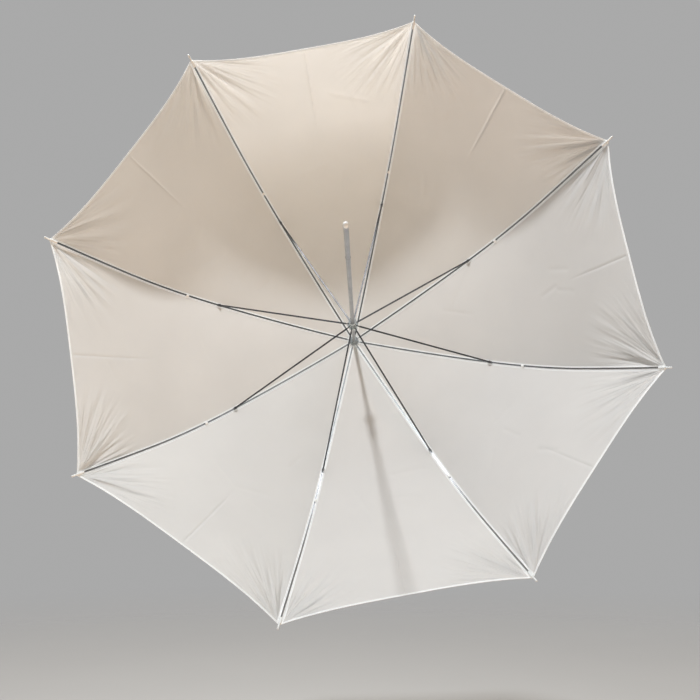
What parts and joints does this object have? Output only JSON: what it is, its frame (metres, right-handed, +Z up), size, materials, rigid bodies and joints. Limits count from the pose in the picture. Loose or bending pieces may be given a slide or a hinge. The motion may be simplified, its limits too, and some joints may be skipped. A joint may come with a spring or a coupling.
{
  "type": "umbrella reflector",
  "caption": "Shoot-through photographic umbrella: white cloth canopy on curved channel ribs, with folding stretchers, a sliding runner, a sprung catch and a bare metal shaft.",
  "frame": {"origin": "on the shaft's axis, at the middle of the plain tube between the stop bead and the end cap, where a bracket clamps it", "axes": "-Y along the shaft towards its free end, +Y towards the crown, +Z up with the shaft held level, +X to the right seen from the free end"},
  "size_m": [1.2196, 0.8875, 1.2196],
  "materials": {
    "canopy_cloth": "white translucent woven nylon with a soft sheen",
    "rib_steel": "bright zinc-plated folded steel",
    "saddle_steel": "pressed steel clip with a dark rivet",
    "shaft_tube": "satin drawn tube",
    "hub_metal": "plated, semi-bright",
    "wire": "drawn spring wire",
    "spring": "polished spring steel",
    "pins": "plain steel",
    "white_plastic": "smooth white moulded plastic"
  },
  "bodies": {
    "root": {"shaft": "shaft_tube", "shaft_end_cap": "white_plastic", "top_notch": "hub_metal", "notch_wire": "wire", "notch_pin": "pins", "ferrule": "white_plastic", "crown_washer": "white_plastic", "catch_pin": "pins", "stop_pin": "pins", "canopy_gore_1": "canopy_cloth", "canopy_gore_2": "canopy_cloth", "canopy_gore_3": "canopy_cloth", "canopy_gore_4": "canopy_cloth", "canopy_gore_5": "canopy_cloth", "canopy_gore_6": "canopy_cloth", "canopy_gore_7": "canopy_cloth", "canopy_gore_8": "canopy_cloth"},
    "runner": {"runner": "hub_metal", "runner_wire": "wire"},
    "catch": {"catch_spring": "spring"},
    "rib_1": {"rib_inner_1": "rib_steel", "joint_saddle_1": "saddle_steel"},
    "rib_1_end": {"rib_outer_1": "rib_steel", "rib_tip_1": "white_plastic"},
    "stretcher_1": {"stretcher_1": "rib_steel"},
    "rib_2": {"rib_inner_2": "rib_steel", "joint_saddle_2": "saddle_steel"},
    "rib_2_end": {"rib_outer_2": "rib_steel", "rib_tip_2": "white_plastic"},
    "stretcher_2": {"stretcher_2": "rib_steel"},
    "rib_3": {"rib_inner_3": "rib_steel", "joint_saddle_3": "saddle_steel"},
    "rib_3_end": {"rib_outer_3": "rib_steel", "rib_tip_3": "white_plastic"},
    "stretcher_3": {"stretcher_3": "rib_steel"},
    "rib_4": {"rib_inner_4": "rib_steel", "joint_saddle_4": "saddle_steel"},
    "rib_4_end": {"rib_outer_4": "rib_steel", "rib_tip_4": "white_plastic"},
    "stretcher_4": {"stretcher_4": "rib_steel"},
    "rib_5": {"rib_inner_5": "rib_steel", "joint_saddle_5": "saddle_steel"},
    "rib_5_end": {"rib_outer_5": "rib_steel", "rib_tip_5": "white_plastic"},
    "stretcher_5": {"stretcher_5": "rib_steel"},
    "rib_6": {"rib_inner_6": "rib_steel", "joint_saddle_6": "saddle_steel"},
    "rib_6_end": {"rib_outer_6": "rib_steel", "rib_tip_6": "white_plastic"},
    "stretcher_6": {"stretcher_6": "rib_steel"},
    "rib_7": {"rib_inner_7": "rib_steel", "joint_saddle_7": "saddle_steel"},
    "rib_7_end": {"rib_outer_7": "rib_steel", "rib_tip_7": "white_plastic"},
    "stretcher_7": {"stretcher_7": "rib_steel"},
    "rib_8": {"rib_inner_8": "rib_steel", "joint_saddle_8": "saddle_steel"},
    "rib_8_end": {"rib_outer_8": "rib_steel", "rib_tip_8": "white_plastic"},
    "stretcher_8": {"stretcher_8": "rib_steel"}
  },
  "joints": [
    {"name": "runner_slide", "type": "slide", "parent": "root", "child": "runner", "axis": [0, -1, 0], "range_m": [0, 0.46604], "deforming": ["canopy_gore_1", "canopy_gore_2", "canopy_gore_3", "canopy_gore_4", "canopy_gore_5", "canopy_gore_6", "canopy_gore_7", "canopy_gore_8", "catch_spring"]},
    {"name": "catch_press", "type": "hinge", "parent": "root", "child": "catch", "pos_m": [0, 0.51045, 0], "axis": [0.8211, 0, -0.5707], "range_deg": [0, 4.5], "stiffness_Nm_per_rad": 0.02},
    {"name": "rib_1_pivot", "type": "hinge", "parent": "root", "child": "rib_1", "pos_m": [0.00192, 0.77245, 0.00879], "axis": [0.977, 0, -0.213], "range_deg": [-0.02, 71.83]},
    {"name": "rib_1_flex", "type": "hinge", "parent": "rib_1", "child": "rib_1_end", "pos_m": [0.07032, 0.68009, 0.32253], "axis": [0.977, 0, -0.213], "range_deg": [-29.23, 0.02]},
    {"name": "stretcher_1_pivot", "type": "hinge", "parent": "rib_1", "child": "stretcher_1", "pos_m": [0.06866, 0.67735, 0.31491], "axis": [0.977, 0, -0.213], "range_deg": [-144.01, 0.02]},
    {"name": "rib_2_pivot", "type": "hinge", "parent": "root", "child": "rib_2", "pos_m": [0.00757, 0.77245, 0.00486], "axis": [0.5402, 0, -0.8415], "range_deg": [-0.02, 71.83]},
    {"name": "rib_2_flex", "type": "hinge", "parent": "rib_2", "child": "rib_2_end", "pos_m": [0.27779, 0.68009, 0.17834], "axis": [0.5402, 0, -0.8415], "range_deg": [-29.23, 0.02]},
    {"name": "stretcher_2_pivot", "type": "hinge", "parent": "rib_2", "child": "stretcher_2", "pos_m": [0.27122, 0.67735, 0.17412], "axis": [0.5402, 0, -0.8415], "range_deg": [-144.01, 0.02]},
    {"name": "rib_3_pivot", "type": "hinge", "parent": "root", "child": "rib_3", "pos_m": [0.00879, 0.77245, -0.00192], "axis": [-0.213, 0, -0.977], "range_deg": [-0.02, 71.83]},
    {"name": "rib_3_flex", "type": "hinge", "parent": "rib_3", "child": "rib_3_end", "pos_m": [0.32253, 0.68009, -0.07032], "axis": [-0.213, 0, -0.977], "range_deg": [-29.23, 0.02]},
    {"name": "stretcher_3_pivot", "type": "hinge", "parent": "rib_3", "child": "stretcher_3", "pos_m": [0.31491, 0.67735, -0.06866], "axis": [-0.213, 0, -0.977], "range_deg": [-144.01, 0.02]},
    {"name": "rib_4_pivot", "type": "hinge", "parent": "root", "child": "rib_4", "pos_m": [0.00486, 0.77245, -0.00757], "axis": [-0.8415, 0, -0.5402], "range_deg": [-0.02, 71.83]},
    {"name": "rib_4_flex", "type": "hinge", "parent": "rib_4", "child": "rib_4_end", "pos_m": [0.17834, 0.68009, -0.27779], "axis": [-0.8415, 0, -0.5402], "range_deg": [-29.23, 0.02]},
    {"name": "stretcher_4_pivot", "type": "hinge", "parent": "rib_4", "child": "stretcher_4", "pos_m": [0.17412, 0.67735, -0.27122], "axis": [-0.8415, 0, -0.5402], "range_deg": [-144.01, 0.02]},
    {"name": "rib_5_pivot", "type": "hinge", "parent": "root", "child": "rib_5", "pos_m": [-0.00192, 0.77245, -0.00879], "axis": [-0.977, 0, 0.213], "range_deg": [-0.02, 71.83]},
    {"name": "rib_5_flex", "type": "hinge", "parent": "rib_5", "child": "rib_5_end", "pos_m": [-0.07032, 0.68009, -0.32253], "axis": [-0.977, 0, 0.213], "range_deg": [-29.23, 0.02]},
    {"name": "stretcher_5_pivot", "type": "hinge", "parent": "rib_5", "child": "stretcher_5", "pos_m": [-0.06866, 0.67735, -0.31491], "axis": [-0.977, 0, 0.213], "range_deg": [-144.01, 0.02]},
    {"name": "rib_6_pivot", "type": "hinge", "parent": "root", "child": "rib_6", "pos_m": [-0.00757, 0.77245, -0.00486], "axis": [-0.5402, 0, 0.8415], "range_deg": [-0.02, 71.83]},
    {"name": "rib_6_flex", "type": "hinge", "parent": "rib_6", "child": "rib_6_end", "pos_m": [-0.27779, 0.68009, -0.17834], "axis": [-0.5402, 0, 0.8415], "range_deg": [-29.23, 0.02]},
    {"name": "stretcher_6_pivot", "type": "hinge", "parent": "rib_6", "child": "stretcher_6", "pos_m": [-0.27122, 0.67735, -0.17412], "axis": [-0.5402, 0, 0.8415], "range_deg": [-144.01, 0.02]},
    {"name": "rib_7_pivot", "type": "hinge", "parent": "root", "child": "rib_7", "pos_m": [-0.00879, 0.77245, 0.00192], "axis": [0.213, 0, 0.977], "range_deg": [-0.02, 71.83]},
    {"name": "rib_7_flex", "type": "hinge", "parent": "rib_7", "child": "rib_7_end", "pos_m": [-0.32253, 0.68009, 0.07032], "axis": [0.213, 0, 0.977], "range_deg": [-29.23, 0.02]},
    {"name": "stretcher_7_pivot", "type": "hinge", "parent": "rib_7", "child": "stretcher_7", "pos_m": [-0.31491, 0.67735, 0.06866], "axis": [0.213, 0, 0.977], "range_deg": [-144.01, 0.02]},
    {"name": "rib_8_pivot", "type": "hinge", "parent": "root", "child": "rib_8", "pos_m": [-0.00486, 0.77245, 0.00757], "axis": [0.8415, 0, 0.5402], "range_deg": [-0.02, 71.83]},
    {"name": "rib_8_flex", "type": "hinge", "parent": "rib_8", "child": "rib_8_end", "pos_m": [-0.17834, 0.68009, 0.27779], "axis": [0.8415, 0, 0.5402], "range_deg": [-29.23, 0.02]},
    {"name": "stretcher_8_pivot", "type": "hinge", "parent": "rib_8", "child": "stretcher_8", "pos_m": [-0.17412, 0.67735, 0.27122], "axis": [0.8415, 0, 0.5402], "range_deg": [-144.01, 0.02]}
  ],
  "couplings": [
    {"joint": "rib_1_pivot", "follows": "runner_slide", "rad_per_m": 2.6894},
    {"joint": "rib_1_flex", "follows": "runner_slide", "rad_per_m": -1.0939},
    {"joint": "stretcher_1_pivot", "follows": "runner_slide", "rad_per_m": -5.3925},
    {"joint": "rib_2_pivot", "follows": "runner_slide", "rad_per_m": 2.6894},
    {"joint": "rib_2_flex", "follows": "runner_slide", "rad_per_m": -1.0939},
    {"joint": "stretcher_2_pivot", "follows": "runner_slide", "rad_per_m": -5.3925},
    {"joint": "rib_3_pivot", "follows": "runner_slide", "rad_per_m": 2.6894},
    {"joint": "rib_3_flex", "follows": "runner_slide", "rad_per_m": -1.0939},
    {"joint": "stretcher_3_pivot", "follows": "runner_slide", "rad_per_m": -5.3925},
    {"joint": "rib_4_pivot", "follows": "runner_slide", "rad_per_m": 2.6894},
    {"joint": "rib_4_flex", "follows": "runner_slide", "rad_per_m": -1.0939},
    {"joint": "stretcher_4_pivot", "follows": "runner_slide", "rad_per_m": -5.3925},
    {"joint": "rib_5_pivot", "follows": "runner_slide", "rad_per_m": 2.6894},
    {"joint": "rib_5_flex", "follows": "runner_slide", "rad_per_m": -1.0939},
    {"joint": "stretcher_5_pivot", "follows": "runner_slide", "rad_per_m": -5.3925},
    {"joint": "rib_6_pivot", "follows": "runner_slide", "rad_per_m": 2.6894},
    {"joint": "rib_6_flex", "follows": "runner_slide", "rad_per_m": -1.0939},
    {"joint": "stretcher_6_pivot", "follows": "runner_slide", "rad_per_m": -5.3925},
    {"joint": "rib_7_pivot", "follows": "runner_slide", "rad_per_m": 2.6894},
    {"joint": "rib_7_flex", "follows": "runner_slide", "rad_per_m": -1.0939},
    {"joint": "stretcher_7_pivot", "follows": "runner_slide", "rad_per_m": -5.3925},
    {"joint": "rib_8_pivot", "follows": "runner_slide", "rad_per_m": 2.6894},
    {"joint": "rib_8_flex", "follows": "runner_slide", "rad_per_m": -1.0939},
    {"joint": "stretcher_8_pivot", "follows": "runner_slide", "rad_per_m": -5.3925}
  ]
}
